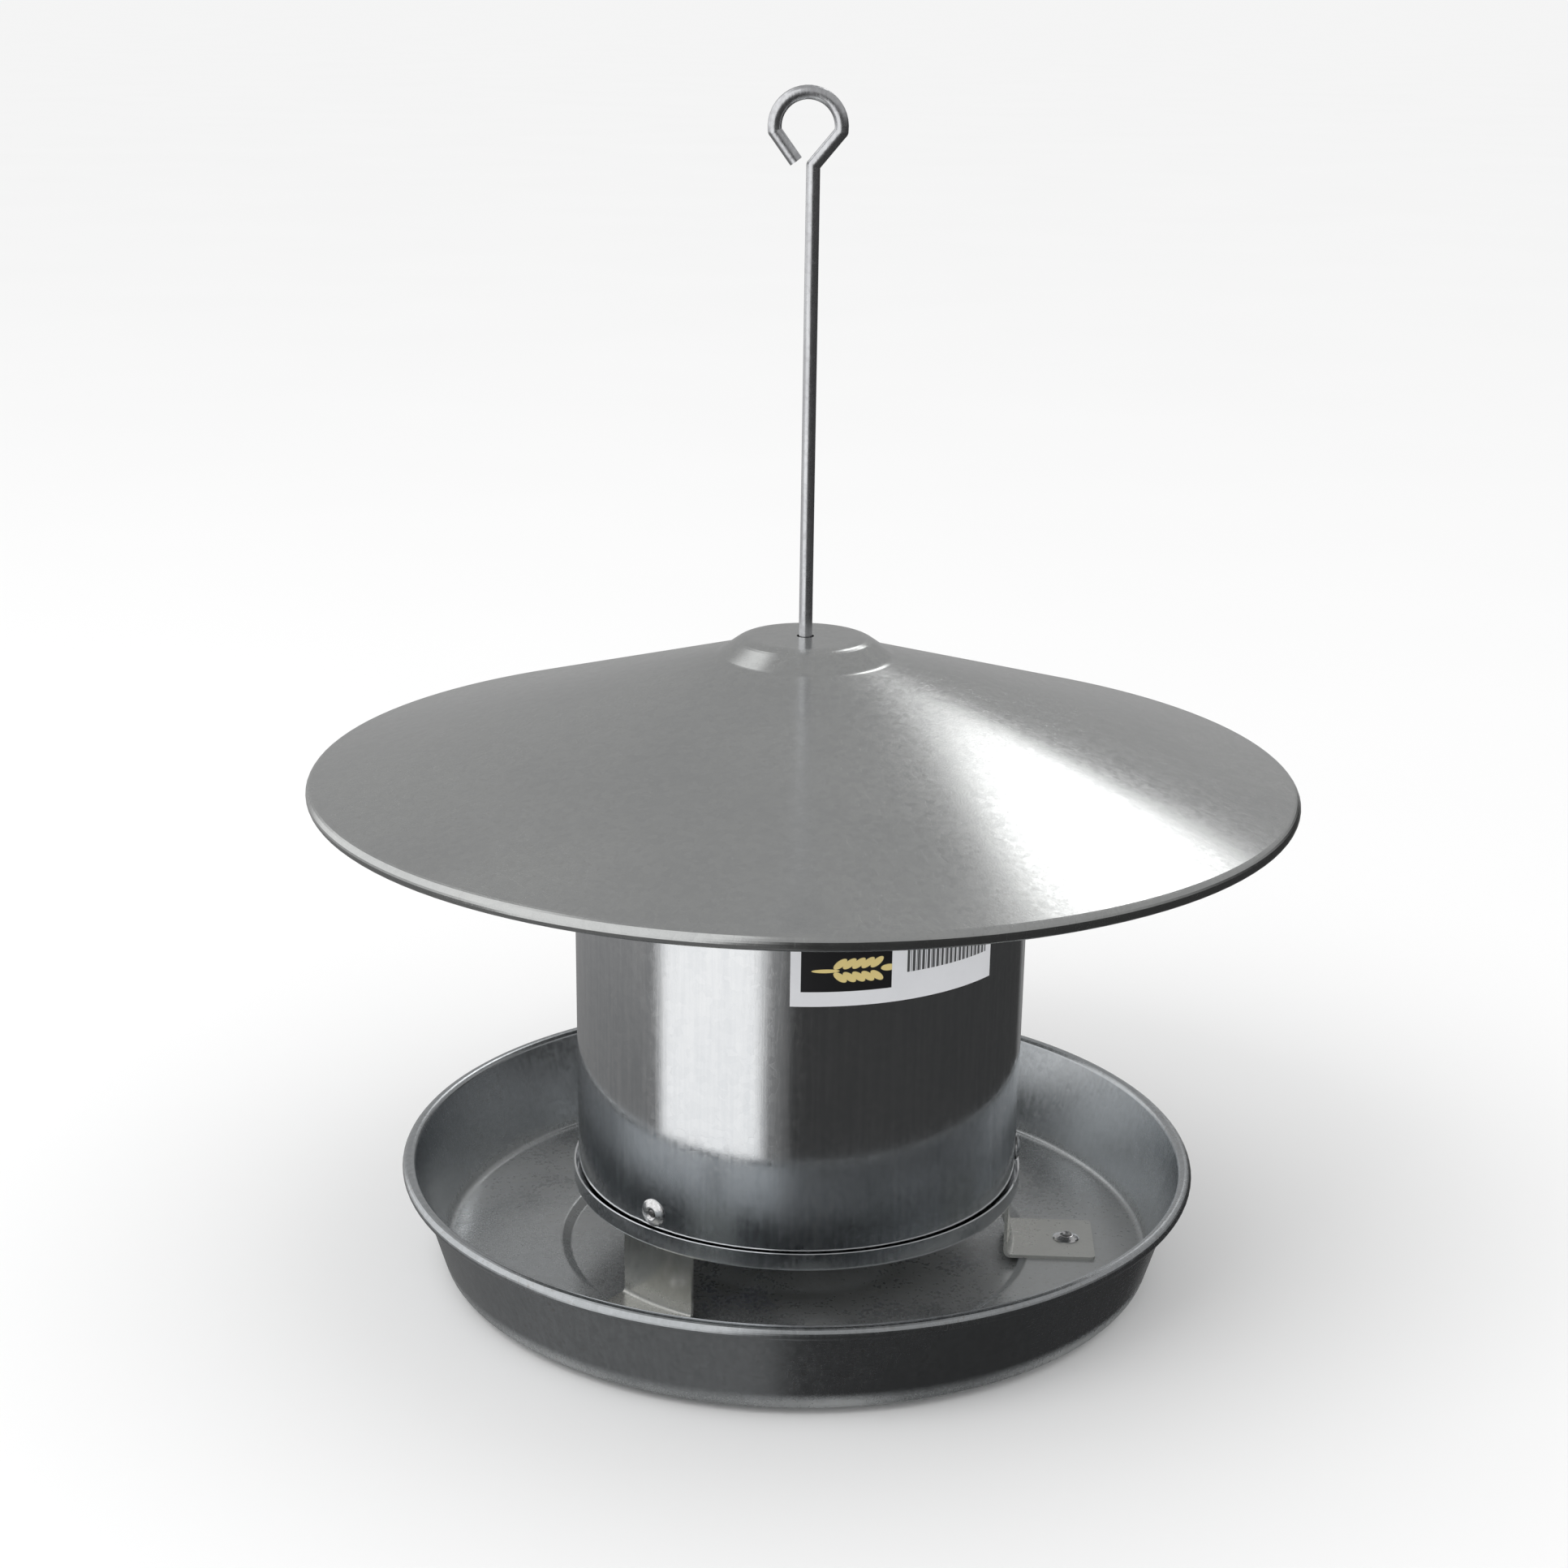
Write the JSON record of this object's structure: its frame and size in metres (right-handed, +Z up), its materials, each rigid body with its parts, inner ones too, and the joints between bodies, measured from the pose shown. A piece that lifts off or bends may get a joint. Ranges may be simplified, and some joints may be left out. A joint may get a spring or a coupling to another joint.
{
  "type": "gravity poultry feeder",
  "caption": "Hanging gravity feeder: round sheet-metal tube on riveted legs in a rolled-rim pan, loose cone lid on a central hanging rod.",
  "frame": {"origin": "on the feeder's axis, in the plane that the pan stands on", "axes": "+Z up along the hanging rod; +X towards the leg seen on the right; -Y towards the viewer"},
  "size_m": [0.297, 0.297, 0.3571],
  "materials": {
    "pan_sheet": "hot-dip galvanised sheet, dull grey with faint cloudy spangle",
    "hopper_sheet": "bright galvanised sheet, near-mirror with fine handling scratches",
    "lid_sheet": "galvanised sheet, satin grey with faint mottling",
    "leg_strap": "galvanised strap, satin",
    "rivet_metal": "satin aluminium blind rivets",
    "mandrel_steel": "broken steel rivet nails, dull",
    "rod_wire": "zinc-plated wire, satin",
    "fastener_zinc": "bright zinc-plated nuts and washers",
    "label_paper": "printed self-adhesive label, satin"
  },
  "bodies": {
    "feeder": {"pan": "pan_sheet", "hopper": "hopper_sheet", "leg_right": "leg_strap", "leg_front_left": "leg_strap", "leg_back": "leg_strap", "hopper_rivet_right": "rivet_metal", "hopper_rivet_front_left": "rivet_metal", "hopper_rivet_back": "rivet_metal", "foot_rivet_right": "rivet_metal", "foot_rivet_front_left": "rivet_metal", "foot_rivet_back": "rivet_metal", "hopper_mandrel_right": "mandrel_steel", "hopper_mandrel_front_left": "mandrel_steel", "hopper_mandrel_back": "mandrel_steel", "foot_mandrel_right": "mandrel_steel", "foot_mandrel_front_left": "mandrel_steel", "foot_mandrel_back": "mandrel_steel", "label": "label_paper"},
    "hanger": {"hanging_rod": "rod_wire", "upper_nut": "fastener_zinc", "lower_nut": "fastener_zinc", "upper_washer": "fastener_zinc", "lower_washer": "fastener_zinc"},
    "lid_body": {"lid": "lid_sheet"}
  },
  "joints": [
    {"name": "rod_swivel", "type": "hinge", "parent": "feeder", "child": "hanger", "pos_m": [0, 0, 0.012], "axis": [0, 0, 1], "continuous": true},
    {"name": "lid_lift", "type": "slide", "parent": "hanger", "child": "lid_body", "axis": [0, 0, 1], "range_m": [0, 0.134]}
  ]
}
